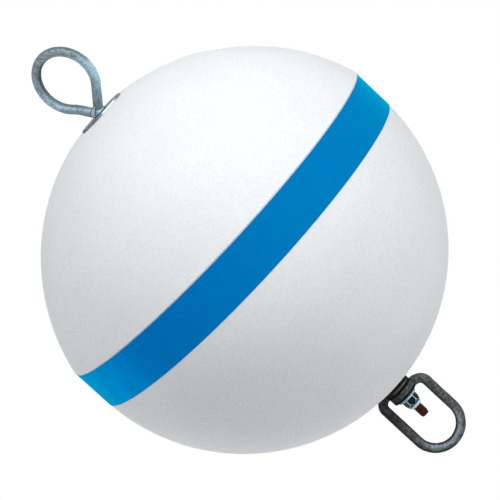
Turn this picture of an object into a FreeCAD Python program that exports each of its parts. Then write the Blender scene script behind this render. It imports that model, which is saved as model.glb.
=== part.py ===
import FreeCAD, Part
import os
from math import asin, cos, radians, sin, sqrt, tan

import Sketcher
from FreeCAD import Placement, Rotation, Vector

# Ball mooring buoy: a foam-filled hard shell with a steel rod through its poles. The rod
# ends in a welded eye on top. Under the ball it carries a bail that swivels on it.
# Heights are measured from the ball's centre, Z up, in mm. Every piece is drawn about the
# rod's axis or the ball's, and is then lowered so that the origin lies where a shackle
# bears, at the inside top of the eye.

DRIVING_SIZES = {
    # Ball: a sphere, a flat belt for the tape, and a slightly flatter dome on top
    "ball_radius": 229.3,
    "belt_recess": 0.3,
    "belt_margin": 0.4,
    "belt_bottom_drop": 5.9,
    "dome_lip": 0.87,
    "dome_step_run": 1.2,
    "dome_centre_drop": 14.0,
    "shell_wall": 4.0,
    "top_seat_margin": 11.8,
    "bottom_seat_margin": 1.2,
    "foam_gap": 0.3,
    # The rod doesn't pass quite through the ball's middle
    "rod_off_centre": 3.3,
    "off_centre_heading": 38.0,
    # Moulded-in tube that keeps the rod's passage dry
    "tube_bore_gap": 1.45,
    "tube_wall": 2.5,
    # Blue band stuck round the belt
    "tape_width": 49.6,
    "tape_thickness": 0.5,
    "bond_line": 0.05,
    # Rod, threaded at its foot
    "rod_dia": 11.1,
    "rod_end_round": 2.2,
    "thread_undersize": 0.1,
    "thread_runout": 1.0,
    "thread_show": 15.0,
    # Eye bent in the rod's top, in the XZ plane: two legs, two haunches and a loop
    "eye_meet_rise": 2.7,
    "eye_leg_angle": 48.1,
    "eye_neck_radius": 7.0,
    "eye_haunch_radius": 35.3,
    "eye_haunch_start": 25.3,
    "eye_loop_radius": 36.6,
    # Free end of the eye: it bends forward, passes in front of the rod and is welded
    "free_leg_angle": 51.2,
    "free_leg_bend_radius": 30.0,
    "free_leg_foot_gap": 0.3,
    "weld_bite": 2.5,
    "weld_foot_leg": 3.35,
    "weld_top_leg": 0.75,
    "weld_height": 5.0,
    # Plate under the eye
    "plate_dia": 60.0,
    "plate_thickness": 2.4,
    "plate_hole_gap": 1.35,
    "plate_round": 0.8,
    # Bail: one bar with an eye forged flat on each end, one over the other on the rod
    "bail_bar_dia": 11.6,
    "bail_corner_radius": 11.0,
    "bail_shoulder_run": 1.0,
    "bail_shoulder_dip": 0.8,
    "bail_length": 98.7,
    "bail_rest_angle": 38.0,
    "lug_dia": 33.4,
    "upper_lug_thickness": 9.8,
    "lower_lug_thickness": 11.0,
    "lug_gap": 0.3,
    "lug_round": 1.1,
    "lug_neck_width": 22.0,
    "lug_neck_reach": 8.0,
    "lug_neck_inset": 0.3,
    "lug_relief": 0.6,
    "lug_seat_gap": 0.3,
    "swivel_bore_gap": 0.1,
    # Washer and lock nut that hold the bail on
    "washer_dia": 25.0,
    "washer_thickness": 3.2,
    "washer_bore_gap": 0.4,
    "washer_round": 0.5,
    "washer_play": 0.3,
    "nut_across_flats": 17.5,
    "nut_straight_height": 6.0,
    "nut_taper_height": 4.6,
    "nut_taper_cut": 0.6,
    "nut_collar_height": 2.0,
    "nut_collar_cut": 0.9,
    "nut_rim_height": 1.3,
    "nut_rim_cut": 2.2,
    "nut_rest_angle": -22.0,
    "nut_gap": 0.1,
    "thread_gap": 0.05,
    "insert_wall": 1.0,
    "insert_height": 2.6,
    "insert_lip": 0.6,
    "insert_lip_gap": 0.5,
}

# What follows from the driving sizes. Heights are above the ball's centre.
DERIVED_SIZES = {
    "belt_radius": "dims.ball_radius - dims.belt_recess",
    "belt_foot": "-dims.belt_bottom_drop",
    "belt_width": "dims.tape_width + 2 * dims.belt_margin",
    "dome_foot": "belt_foot + belt_width + dims.dome_step_run",
    "dome_radius": "sqrt((belt_radius + dims.dome_lip)^2"
                   " + (dome_foot + dims.dome_centre_drop)^2)",
    "top_seat_radius": "dims.plate_dia / 2 + dims.top_seat_margin",
    "top_seat": "sqrt(dome_radius^2 - top_seat_radius^2) - dims.dome_centre_drop",
    "bottom_seat_radius": "dims.lug_dia / 2 + dims.bottom_seat_margin",
    "bottom_seat": "-sqrt(dims.ball_radius^2 - bottom_seat_radius^2)",
    "foam_inset": "dims.shell_wall + dims.foam_gap",
    "tube_bore_radius": "dims.rod_dia / 2 + dims.tube_bore_gap",
    "tube_radius": "tube_bore_radius + dims.tube_wall",
    "pole_hole_radius": "tube_radius + dims.bond_line",
    "foam_hole_radius": "tube_radius + dims.foam_gap",
    "tape_bore_radius": "belt_radius + dims.bond_line",
    "plate_top": "top_seat + dims.plate_thickness",
    "plate_hole_radius": "dims.rod_dia / 2 + dims.plate_hole_gap",
    "eye_meet": "plate_top + dims.eye_meet_rise",
    "eye_spread": "dims.eye_loop_radius - dims.eye_haunch_radius",
    "eye_leg_distance": "dims.eye_haunch_radius"
                        " + eye_spread * cos(dims.eye_leg_angle + dims.eye_haunch_start)",
    "eye_centre": "eye_meet + eye_leg_distance / sin(dims.eye_leg_angle)",
    "origin": "eye_centre + dims.eye_loop_radius - dims.rod_dia / 2",
    "upper_lug_top": "bottom_seat - dims.lug_seat_gap",
    "upper_lug_foot": "upper_lug_top - dims.upper_lug_thickness",
    "lower_lug_top": "upper_lug_foot - dims.lug_gap",
    "lower_lug_foot": "lower_lug_top - dims.lower_lug_thickness",
    "bail_bar_end": "dims.lug_dia / 2 + dims.bail_shoulder_run",
    "bail_half_spacing": "bail_bar_end + dims.bail_corner_radius",
    "bail_end": "bottom_seat - dims.bail_length",
    "washer_foot": "lower_lug_foot - dims.washer_play - dims.washer_thickness",
    "nut_top": "washer_foot - dims.nut_gap",
    "nut_taper": "nut_top - dims.nut_straight_height",
    "nut_collar": "nut_taper - dims.nut_taper_height",
    "nut_rim": "nut_collar - dims.nut_collar_height",
    "nut_end": "nut_rim - dims.nut_rim_height",
    "nut_corner_radius": "dims.nut_across_flats / 2 / cos(30)",
    "nut_taper_end_radius": "(dims.nut_across_flats - dims.nut_taper_cut) / 2",
    "nut_collar_end_radius": "nut_taper_end_radius - dims.nut_collar_cut / 2",
    "nut_rim_radius": "nut_collar_end_radius - dims.nut_rim_cut / 2",
    "rod_end": "nut_end - dims.thread_show",
    "thread_top": "nut_top + dims.thread_runout",
    "thread_radius": "(dims.rod_dia - dims.thread_undersize) / 2",
    "thread_bore_radius": "thread_radius + dims.thread_gap",
    "insert_foot": "nut_end + dims.insert_lip",
    "insert_radius": "thread_radius + dims.insert_wall",
}

# How far a cutting tool reaches past the face that it cuts
OVERCUT = 5.0

doc = FreeCAD.newDocument("mooring_buoy")
dims = doc.addObject("Spreadsheet::Sheet", "dims")
for row, (name, number) in enumerate(DRIVING_SIZES.items(), start=1):
    dims.set("A%d" % row, name)
    dims.set("B%d" % row, str(number))
    dims.setAlias("B%d" % row, name)
doc.recompute()

levels = doc.addObject("App::FeaturePython", "levels")
for name in DERIVED_SIZES:
    levels.addProperty("App::PropertyFloat", name)
for name, expression in DERIVED_SIZES.items():
    levels.setExpression(name, expression)
doc.recompute()

NODES = []


def size(name):
    """A driving dimension, read back from the spreadsheet."""
    return float(dims.get(name))


def bind(thing, expressions):
    """Tie properties of a document object to the spreadsheet."""
    for prop, expression in expressions.items():
        thing.setExpression(prop, expression)
    return thing


def node(label, thing, turn=None):
    """Name a finished piece, lower it into the part's frame and turn it about Z."""
    thing.Label = label
    if turn:
        thing.Placement = Placement(Vector(), Rotation(Vector(0, 0, 1), 1))
        bind(thing, {"Placement.Rotation.Angle": turn})
    bind(thing, {"Placement.Base.z": "-levels.origin"})
    NODES.append(thing)
    return thing


def on_ball(label, thing):
    """Place a finished piece about the ball's axis, its own X towards the rod."""
    node(label, thing, turn="dims.off_centre_heading")
    shift = "-dims.rod_off_centre * %s(dims.off_centre_heading)"
    return bind(thing, {"Placement.Base.x": shift % "cos",
                        "Placement.Base.y": shift % "sin"})


# Part primitives and booleans

def cylinder(name, radius, top, foot):
    """Upright cylinder on the axis, between two heights."""
    return bind(doc.addObject("Part::Cylinder", name),
                {"Radius": radius, "Height": f"{top} - ({foot})",
                 "Placement.Base.z": foot})


def cone(name, foot_radius, top_radius, top, foot):
    """Upright cone frustum on the axis, between two heights."""
    return bind(doc.addObject("Part::Cone", name),
                {"Radius1": foot_radius, "Radius2": top_radius,
                 "Height": f"{top} - ({foot})", "Placement.Base.z": foot})


def fuse(name, shapes):
    """One solid made of several."""
    fused = doc.addObject("Part::MultiFuse", name)
    fused.Shapes = shapes
    fused.Refine = True
    return fused


def cut(name, base, tool):
    """The base less the tool."""
    result = doc.addObject("Part::Cut", name)
    result.Base = base
    result.Tool = tool
    result.Refine = True
    return result


def circle(name, radius, placement):
    """Round bar section, facing along the placement's Z."""
    section = doc.addObject("Part::Circle", name)
    section.Placement = placement
    return bind(section, {"Radius": radius})


def sweep(name, section, edges):
    """Bar of one section along a path of tangent edges."""
    path = doc.addObject("Part::Feature", name + "_path")
    path.Shape = Part.Wire(edges)
    bar = doc.addObject("Part::Sweep", name)
    bar.Sections = [section]
    bar.Spine = (path, ["Edge%d" % n for n in range(1, len(edges) + 1)])
    bar.Solid = True
    return bar


def rounded_rims(name, base, radius, rims=(1, 3)):
    """Round the rims of a cylinder primitive: edge 1 is its top rim, edge 3 its foot rim."""
    fillet = doc.addObject("Part::Fillet", name)
    fillet.Base = base
    fillet.Edges = [(rim, radius, radius) for rim in rims]
    return fillet


# PartDesign bodies

def new_sketch(body, name, role):
    """Sketch on one of the body's own origin planes."""
    plane = next(f for f in body.Origin.OriginFeatures if f.Role == role)
    drawing = body.newObject("Sketcher::SketchObject", name)
    drawing.AttachmentSupport = (plane, [""])
    drawing.MapMode = "FlatFace"
    return drawing


def driven(drawing, name, expression, kind, *where):
    """Add a dimension to a sketch and tie it to the spreadsheet."""
    index = drawing.addConstraint(Sketcher.Constraint(kind, *where))
    drawing.renameConstraint(index, name)
    drawing.setExpression("Constraints." + name, expression)


def outer_rims(feature):
    """Names of the circular edges that lie farthest out."""
    radii = {}
    for index, edge in enumerate(feature.Shape.Edges, start=1):
        if hasattr(edge.Curve, "Radius"):
            radii["Edge%d" % index] = edge.Curve.Radius
    return [name for name, radius in radii.items() if radius == max(radii.values())]


def ring(label, radius, hole_radius, height, foot, rim_round=None, place=node):
    """Flat ring, washer or tube: a padded pair of circles, its outer rims rounded."""
    body = doc.addObject("PartDesign::Body", label + "_body")
    drawing = new_sketch(body, label + "_rings", "XY_Plane")
    bind(drawing, {"AttachmentOffset.Base.z": foot})
    circles = (("outer", radius, 10.0), ("hole", hole_radius, 9.0))
    for index, (name, expression, start_radius) in enumerate(circles):
        drawing.addGeometry(Part.Circle(Vector(), Vector(0, 0, 1), start_radius))
        drawing.addConstraint(Sketcher.Constraint("Coincident", index, 3, -1, 1))
        driven(drawing, name, expression, "Radius", index, start_radius)
    pad = body.newObject("PartDesign::Pad", label + "_pad")
    pad.Profile = drawing
    bind(pad, {"Length": height})
    doc.recompute()
    if rim_round:
        fillet = body.newObject("PartDesign::Fillet", label + "_round")
        fillet.Base = (pad, outer_rims(pad))
        bind(fillet, {"Radius": rim_round})
        body.Tip = fillet
    return place(label, body)


def ball_profile(body, name, inset, inset_expression):
    """Half outline of the ball, drawn in by an inset: seats, sphere, belt and dome."""
    lower = size("ball_radius") - inset
    dome = levels.dome_radius - inset
    belt = levels.belt_radius - inset
    drop = size("dome_centre_drop")
    top = levels.top_seat - inset
    foot = levels.bottom_seat + inset
    belt_foot = levels.belt_foot
    belt_top = belt_foot + levels.belt_width
    dome_foot = levels.dome_foot

    points = [
        Vector(0, foot),
        Vector(sqrt(lower ** 2 - foot ** 2), foot),
        Vector(sqrt(lower ** 2 - belt_foot ** 2), belt_foot),
        Vector(belt, belt_foot),
        Vector(belt, belt_top),
        Vector(sqrt(dome ** 2 - (dome_foot + drop) ** 2), dome_foot),
        Vector(sqrt(dome ** 2 - (top + drop) ** 2), top),
        Vector(0, top),
    ]
    lower_middle = Vector(1, -1).normalize() * lower
    dome_middle = Vector(0, -drop) + Vector(1, 1).normalize() * dome
    drawing = new_sketch(body, name, "XZ_Plane")
    drawing.addGeometry([
        Part.LineSegment(points[0], points[1]),
        Part.Arc(points[1], lower_middle, points[2]),
        Part.LineSegment(points[2], points[3]),
        Part.LineSegment(points[3], points[4]),
        Part.LineSegment(points[4], points[5]),
        Part.Arc(points[5], dome_middle, points[6]),
        Part.LineSegment(points[6], points[7]),
        Part.LineSegment(points[7], points[0]),
    ])
    seat, sphere, ledge, flat, step, arch, crown, axis = range(8)
    start, end, middle = 1, 2, 3
    centre_point = (-1, 1)
    upright_axis = -2
    for edge in range(8):
        drawing.addConstraint(
            Sketcher.Constraint("Coincident", edge, end, (edge + 1) % 8, start))
    for edge in (seat, ledge, crown):
        drawing.addConstraint(Sketcher.Constraint("Horizontal", edge))
    drawing.addConstraint(Sketcher.Constraint("Vertical", flat))
    for edge, point in ((seat, start), (crown, end), (arch, middle)):
        drawing.addConstraint(
            Sketcher.Constraint("PointOnObject", edge, point, upright_axis))
    drawing.addConstraint(Sketcher.Constraint("Coincident", sphere, middle, *centre_point))

    driven(drawing, "sphere_radius", f"dims.ball_radius - {inset_expression}",
           "Radius", sphere, lower)
    driven(drawing, "dome_radius", f"levels.dome_radius - {inset_expression}",
           "Radius", arch, dome)
    driven(drawing, "dome_drop", "dims.dome_centre_drop",
           "DistanceY", arch, middle, *centre_point, drop)
    driven(drawing, "belt_radius", f"levels.belt_radius - {inset_expression}",
           "DistanceX", *centre_point, flat, start, belt)
    driven(drawing, "belt_drop", "dims.belt_bottom_drop",
           "DistanceY", flat, start, *centre_point, -belt_foot)
    driven(drawing, "belt_width", "levels.belt_width",
           "DistanceY", flat, start, flat, end, belt_top - belt_foot)
    driven(drawing, "step_run", "dims.dome_step_run",
           "DistanceY", step, start, step, end, dome_foot - belt_top)
    driven(drawing, "seat_depth", f"-levels.bottom_seat - {inset_expression}",
           "DistanceY", seat, start, *centre_point, -foot)
    driven(drawing, "crown_height", f"levels.top_seat - {inset_expression}",
           "DistanceY", *centre_point, crown, end, top)
    return drawing


def bore_profile(body, name, radius, radius_expression):
    """Half section of a hole along the rod's whole axis, for a groove in the ball."""
    top = levels.top_seat + OVERCUT
    foot = levels.bottom_seat - OVERCUT
    corners = [Vector(0, foot), Vector(radius, foot), Vector(radius, top), Vector(0, top)]
    drawing = new_sketch(body, name, "XZ_Plane")
    bind(drawing, {"AttachmentOffset.Base.x": "dims.rod_off_centre"})
    for index in range(4):
        drawing.addGeometry(Part.LineSegment(corners[index], corners[(index + 1) % 4]))
    for index in range(4):
        drawing.addConstraint(
            Sketcher.Constraint("Coincident", index, 2, (index + 1) % 4, 1))
    for edge, kind in enumerate(("Horizontal", "Vertical", "Horizontal", "Vertical")):
        drawing.addConstraint(Sketcher.Constraint(kind, edge))
    drawing.addConstraint(Sketcher.Constraint("PointOnObject", 0, 1, -2))
    driven(drawing, "radius", radius_expression, "DistanceX", 0, 1, 0, 2, radius)
    driven(drawing, "depth", f"-levels.bottom_seat + {OVERCUT}",
           "DistanceY", 0, 1, -1, 1, -foot)
    driven(drawing, "height", f"levels.top_seat + {OVERCUT}",
           "DistanceY", -1, 1, 1, 2, top)
    return drawing


def turned(body, kind, name, drawing):
    """Revolve or groove a half section about the upright axis."""
    feature = body.newObject("PartDesign::" + kind, name)
    feature.Profile = drawing
    feature.ReferenceAxis = (drawing, ["V_Axis"])
    feature.Angle = 360
    body.Tip = feature
    doc.recompute()
    return feature


def ball_shell():
    """Hard plastic shell, hollow, with a hole at each pole for the tube."""
    body = doc.addObject("PartDesign::Body", "ball_shell_body")
    outside = turned(body, "Revolution", "shell_outside",
                     ball_profile(body, "outside", 0.0, "0"))
    cavity = turned(body, "Groove", "shell_cavity",
                    ball_profile(body, "cavity", size("shell_wall"), "dims.shell_wall"))
    if cavity.Shape.Volume > 0.5 * outside.Shape.Volume:
        raise RuntimeError("the shell's cavity cut too little")
    turned(body, "Groove", "shell_pole_holes",
           bore_profile(body, "pole_holes", levels.pole_hole_radius,
                        "levels.pole_hole_radius"))
    return on_ball("ball_shell", body)


def foam_core():
    """Closed-cell foam that fills the shell around the tube."""
    body = doc.addObject("PartDesign::Body", "foam_core_body")
    turned(body, "Revolution", "foam_outside",
           ball_profile(body, "foam_outline", levels.foam_inset, "levels.foam_inset"))
    turned(body, "Groove", "foam_hole",
           bore_profile(body, "foam_bore", levels.foam_hole_radius,
                        "levels.foam_hole_radius"))
    return on_ball("foam_core", body)


def rings():
    """Tube, tape, plate, washer and nut insert: all are plain rings on the axis."""
    ring("centre_tube", "levels.tube_radius", "levels.tube_bore_radius",
         "levels.top_seat - levels.bottom_seat", "levels.bottom_seat")
    ring("stripe_tape", "levels.tape_bore_radius + dims.tape_thickness",
         "levels.tape_bore_radius", "dims.tape_width",
         "levels.belt_foot + dims.belt_margin", place=on_ball)
    ring("top_plate", "dims.plate_dia / 2", "levels.plate_hole_radius",
         "dims.plate_thickness", "levels.top_seat", "dims.plate_round")
    ring("flat_washer", "dims.washer_dia / 2", "dims.rod_dia / 2 + dims.washer_bore_gap",
         "dims.washer_thickness", "levels.washer_foot", "dims.washer_round")
    ring("nut_insert", "levels.insert_radius", "levels.thread_bore_radius",
         "dims.insert_height", "levels.insert_foot")


def in_plane(distance, angle):
    """Vector in the XZ plane, its angle in radians from +X towards +Z."""
    return Vector(distance * cos(angle), 0, distance * sin(angle))


def arc(start, middle, end):
    """Circular edge through three points."""
    return Part.Arc(start, middle, end).toShape()


def line(start, end):
    """Straight edge."""
    return Part.LineSegment(start, end).toShape()


def mirrored(point):
    """The same point on the other side of the axis."""
    return Vector(-point.x, point.y, point.z)


def free_leg(start, leg_angle, rod_radius):
    """Edges of the eye's free end, which bends forward to pass the rod.

    The turn is worked out so that the end comes to lie one bar in front of the rod, less
    the weld's bite, with its lowest corner just clear of the plate.
    """
    along = Vector(sin(leg_angle), 0, -cos(leg_angle))
    forward = Vector(0, -1, 0)
    bend = size("free_leg_bend_radius")
    offset = 2 * rod_radius - size("weld_bite")
    floor = levels.plate_top + size("free_leg_foot_gap")
    turn = 0.0
    for _ in range(40):
        heading = along * cos(turn) + forward * sin(turn)
        foot_height = floor + rod_radius * sqrt(1 - heading.z ** 2)
        run = (start.z - foot_height) / cos(leg_angle)
        straight = (run - bend * sin(turn)) / cos(turn)
        turn = asin((offset - bend * (1 - cos(turn))) / straight)

    def on_bend(angle):
        return start + along * (bend * sin(angle)) + forward * (bend * (1 - cos(angle)))

    foot = on_bend(turn) + heading * straight
    return [arc(start, on_bend(turn / 2), on_bend(turn)), line(on_bend(turn), foot)]


def eye_rod():
    """Round rod with a teardrop eye bent in its top and welded, and a threaded end."""
    rod_radius = size("rod_dia") / 2
    loop = size("eye_loop_radius")
    haunch = size("eye_haunch_radius")
    neck = size("eye_neck_radius")
    leg_angle = radians(size("eye_leg_angle"))
    free_angle = radians(size("free_leg_angle"))
    haunch_start = radians(size("eye_haunch_start"))
    meet = Vector(0, 0, levels.eye_meet)
    centre = Vector(0, 0, levels.eye_centre)
    shank_foot = Vector(0, 0, levels.thread_top)

    # The neck turns the rod from upright into the fixed leg
    neck_run = neck * tan(leg_angle / 2)
    neck_start = meet - Vector(0, 0, neck_run)
    neck_centre = neck_start + Vector(neck, 0, 0)
    neck_middle = neck_centre + in_plane(neck, radians(180) - leg_angle / 2)
    neck_end = meet + in_plane(neck_run, radians(90) - leg_angle)

    # Each haunch is a tighter arc between a leg and the loop, which it meets a little
    # above the level of the loop's centre
    haunch_centre = centre + in_plane(levels.eye_spread, haunch_start)
    leg_end = haunch_centre + in_plane(haunch, -leg_angle)
    haunch_middle = haunch_centre + in_plane(haunch, (haunch_start - leg_angle) / 2)
    loop_start = centre + in_plane(loop, haunch_start)
    crown = centre + Vector(0, 0, loop)
    loop_middle = centre + in_plane(loop, (haunch_start + radians(90)) / 2)
    free_start = mirrored(haunch_centre + in_plane(haunch, -free_angle))
    free_middle = mirrored(
        haunch_centre + in_plane(haunch, (haunch_start - free_angle) / 2))

    fixed_edges = [
        line(shank_foot, neck_start),
        arc(neck_start, neck_middle, neck_end),
        line(neck_end, leg_end),
        arc(leg_end, haunch_middle, loop_start),
        arc(loop_start, loop_middle, crown),
    ]
    free_edges = [
        arc(crown, mirrored(loop_middle), mirrored(loop_start)),
        arc(mirrored(loop_start), free_middle, free_start),
    ] + free_leg(free_start, free_angle, rod_radius)
    shank = sweep("shank_and_fixed_leg",
                  circle("shank_section", "dims.rod_dia / 2",
                         Placement(shank_foot, Rotation())),
                  fixed_edges)
    loop_half = sweep("free_half_of_loop",
                      circle("loop_section", "dims.rod_dia / 2",
                             Placement(crown, Rotation(Vector(0, 0, 1), Vector(-1, 0, 0)))),
                      free_edges)
    threaded_end = rounded_rims(
        "threaded_end",
        cylinder("thread_blank", "levels.thread_radius", "levels.thread_top",
                 "levels.rod_end"),
        size("rod_end_round"), rims=(3,))
    weld = cone("weld", "dims.rod_dia / 2 + dims.weld_foot_leg",
                "dims.rod_dia / 2 + dims.weld_top_leg",
                "levels.plate_top + dims.weld_height", "levels.plate_top")
    return node("eye_rod", fuse("rod_and_eye", [shank, loop_half, threaded_end, weld]))


def bail_lug(name, side, top, foot):
    """One end of the bail's bar: it spreads from the round bar into a flat eye."""
    bar_end = bind(
        circle(name + "_bar_end", "dims.bail_bar_dia / 2",
               Placement(Vector(), Rotation(Vector(0, 0, 1), Vector(1, 0, 0)))),
        {"Placement.Base.x": f"{side} * levels.bail_bar_end",
         "Placement.Base.z": f"{top} - dims.bail_bar_dia / 2 - dims.bail_shoulder_dip"})
    neck_end = doc.addObject("Part::Ellipse", name + "_neck_end")
    neck_end.Placement = Placement(
        Vector(), Rotation(Vector(0, 1, 0), Vector(0, 0, 1), Vector(1, 0, 0), "ZXY"))
    bind(neck_end, {"MajorRadius": "dims.lug_neck_width / 2",
                    "MinorRadius": f"({top} - {foot}) / 2 - dims.lug_neck_inset",
                    "Placement.Base.x": f"{side} * dims.lug_neck_reach",
                    "Placement.Base.z": f"({top} + {foot}) / 2"})
    neck = doc.addObject("Part::Loft", name + "_neck")
    neck.Sections = [bar_end, neck_end]
    neck.Solid = True
    disc = rounded_rims(name + "_rounded",
                        cylinder(name + "_disc", "dims.lug_dia / 2", top, foot),
                        size("lug_round"))
    spread_end = fuse(name + "_rough", [neck, disc])
    # The forging is faced off above and below, so that it clears the other eye and
    # the washer
    reach = "dims.lug_dia / 2 + dims.lug_relief"
    above = cylinder(name + "_face_above", reach, f"{top} + dims.lug_dia", top)
    below = cylinder(name + "_face_below", reach, foot, f"{foot} - dims.lug_dia")
    facing = fuse(name + "_facing", [above, below])
    return bar_end, cut(name, spread_end, facing)


def swivel_bail():
    """Bail that turns on the rod: a bar bent to a U, its two eyes one over the other."""
    upper_start, upper_lug = bail_lug("upper_lug", -1, "levels.upper_lug_top",
                                      "levels.upper_lug_foot")
    lower_start, lower_lug = bail_lug("lower_lug", 1, "levels.lower_lug_top",
                                      "levels.lower_lug_foot")
    doc.recompute()

    # The bar's path runs from the upper eye down, round the end and up to the lower eye
    corner = size("bail_corner_radius")
    half = levels.bail_half_spacing
    bend_height = levels.bail_end + half
    start = upper_start.Placement.Base
    end = lower_start.Placement.Base
    corner_middle = Vector(corner * sin(radians(45)), 0, corner * (cos(radians(45)) - 1))
    left_arm_top = start + Vector(-corner, 0, -corner)
    right_arm_top = end + Vector(corner, 0, -corner)
    left_arm_foot = Vector(-half, 0, bend_height)
    right_arm_foot = Vector(half, 0, bend_height)
    edges = [
        arc(start, start + mirrored(corner_middle), left_arm_top),
        line(left_arm_top, left_arm_foot),
        arc(left_arm_foot, Vector(0, 0, levels.bail_end), right_arm_foot),
        line(right_arm_foot, right_arm_top),
        arc(right_arm_top, end + corner_middle, end),
    ]
    bar = sweep("bail_bar", upper_start, edges)
    forging = fuse("bail_forging", [bar, upper_lug, lower_lug])
    bore = cylinder("swivel_bore", "dims.rod_dia / 2 + dims.swivel_bore_gap",
                    f"levels.upper_lug_top + {OVERCUT}",
                    f"levels.lower_lug_foot - {OVERCUT}")
    return node("swivel_bail", cut("bail", forging, bore), turn="dims.bail_rest_angle")


def lock_nut():
    """Hexagon lock nut: tapered corners, a round collar and a recess for its insert."""
    hexagon = doc.addObject("Part::Prism", "nut_hexagon")
    hexagon.Polygon = 6
    bind(hexagon, {"Circumradius": "levels.nut_corner_radius",
                   "Height": "levels.nut_top - levels.nut_end",
                   "Placement.Base.z": "levels.nut_end"})
    outline = fuse("nut_outline", [
        cylinder("nut_body", "levels.nut_corner_radius",
                 "levels.nut_top", "levels.nut_taper"),
        cone("nut_taper", "levels.nut_taper_end_radius", "levels.nut_corner_radius",
             "levels.nut_taper", "levels.nut_collar"),
        cone("nut_collar", "levels.nut_collar_end_radius", "levels.nut_taper_end_radius",
             "levels.nut_collar", "levels.nut_rim"),
        cone("nut_rim", "levels.nut_rim_radius", "levels.nut_collar_end_radius",
             "levels.nut_rim", "levels.nut_end"),
    ])
    blank = doc.addObject("Part::MultiCommon", "nut_blank")
    blank.Shapes = [hexagon, outline]
    hollow = fuse("nut_hollow", [
        cylinder("nut_bore", "levels.thread_bore_radius",
                 f"levels.nut_top + {OVERCUT}", "levels.insert_foot"),
        cylinder("nut_recess", "levels.insert_radius + dims.thread_gap",
                 "levels.insert_foot + dims.insert_height + dims.thread_gap",
                 "levels.insert_foot"),
        cylinder("nut_mouth", "levels.thread_radius + dims.insert_lip_gap",
                 "levels.insert_foot", f"levels.nut_end - {OVERCUT}"),
    ])
    return node("lock_nut", cut("nut", blank, hollow), turn="dims.nut_rest_angle")


def check_objects():
    """Stop if any object failed, or a finished piece isn't one sound solid."""
    for thing in doc.Objects:
        if "Invalid" in thing.State or "Error" in thing.State:
            raise RuntimeError("%s failed: %s" % (thing.Name, thing.State))
    for piece in NODES:
        shape = piece.Shape
        if shape.isNull() or not shape.isValid() or len(shape.Solids) != 1:
            raise RuntimeError("%s is not one valid solid" % piece.Label)


ball_shell()
foam_core()
rings()
eye_rod()
swivel_bail()
lock_nut()
doc.recompute()
check_objects()

os.makedirs("parts", exist_ok=True)
for piece in NODES:
    piece.Shape.exportStep("parts/%s.step" % piece.Label)
    box = piece.Shape.BoundBox
    print("%-12s %9.1f cm3  z %8.2f to %8.2f" % (
        piece.Label, piece.Shape.Volume / 1000, box.ZMin, box.ZMax))
print("belt %.2f  dome %.2f  top seat %.2f  bottom seat %.2f  eye centre %.2f  origin %.2f" % (
    levels.belt_radius, levels.dome_radius, levels.top_seat, levels.bottom_seat,
    levels.eye_centre, levels.origin))
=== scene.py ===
# %% [markdown]
# Ball mooring buoy, dressed for its picture.
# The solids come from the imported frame: a hard white ball with a blue belt, a steel rod
# with a welded eye through it, and a bail that swivels underneath. This lesson gives each
# of them its real finish, and remakes the steel pieces whose forged and welded surface
# shows. Everything is in metres, in the frame's own axes: +Z runs up the rod, and the
# origin is where a shackle bears in the eye.

# %% Load the frame
from math import copysign, cos, hypot, radians, sin

import bmesh
import bpy
from mathutils import Matrix, Vector


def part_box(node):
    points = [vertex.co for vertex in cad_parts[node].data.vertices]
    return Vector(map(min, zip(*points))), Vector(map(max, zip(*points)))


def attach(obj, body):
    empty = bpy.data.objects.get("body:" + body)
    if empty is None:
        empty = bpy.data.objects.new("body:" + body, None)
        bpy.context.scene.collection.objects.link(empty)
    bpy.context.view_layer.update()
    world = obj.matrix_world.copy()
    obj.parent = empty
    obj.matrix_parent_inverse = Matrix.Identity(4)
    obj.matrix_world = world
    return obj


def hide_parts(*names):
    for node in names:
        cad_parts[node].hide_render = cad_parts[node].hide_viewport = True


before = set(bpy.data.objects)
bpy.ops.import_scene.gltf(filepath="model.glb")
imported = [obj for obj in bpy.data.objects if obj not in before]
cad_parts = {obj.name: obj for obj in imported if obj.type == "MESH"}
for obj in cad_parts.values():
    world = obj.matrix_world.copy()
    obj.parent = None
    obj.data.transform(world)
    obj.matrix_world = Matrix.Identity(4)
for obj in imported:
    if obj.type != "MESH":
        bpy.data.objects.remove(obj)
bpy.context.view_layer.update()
MM = 0.001
print("pieces in the frame:", ", ".join(sorted(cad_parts)))

# %% [markdown]
# Places that the other pieces are set by. They could be typed in as numbers, but the frame
# already knows them, so they are read from the boxes of its solids. A few thicknesses don't
# show in a box, such as the bar's and the forged eyes', so those are typed here once.

# %% Places taken from the solids
ball_low, ball_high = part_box("ball_shell")
tape_low, tape_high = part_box("stripe_tape")
rod_low, rod_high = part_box("eye_rod")
plate_low, plate_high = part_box("top_plate")
nut_low, nut_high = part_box("lock_nut")
bail_low, bail_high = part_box("swivel_bail")
SEAT_BELOW_CENTRE = 228.6 * MM
BAIL_BAR_RADIUS = 5.8 * MM
ball_centre = (ball_low + ball_high) / 2
ball_centre.z = ball_low.z + SEAT_BELOW_CENTRE
ROD_RADIUS = 5.55 * MM
loop_radius = rod_high.x - ROD_RADIUS
loop_centre = Vector((0, 0, rod_high.z - ROD_RADIUS - loop_radius))
bend_radius = hypot(bail_high.x - BAIL_BAR_RADIUS, bail_high.y - BAIL_BAR_RADIUS)
bend_centre = Vector((0, 0, bail_low.z + BAIL_BAR_RADIUS + bend_radius))
UPPER_EYE_THICKNESS = 9.8 * MM
LOWER_EYE_THICKNESS = 11.0 * MM
EYE_GAP = 0.3 * MM
LUG_RADIUS = 16.7 * MM
upper_eye_foot = bail_high.z - UPPER_EYE_THICKNESS
lower_eye_top = upper_eye_foot - EYE_GAP
lower_eye_foot = lower_eye_top - LOWER_EYE_THICKNESS
print("ball centre at", [round(value, 4) for value in ball_centre])
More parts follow.
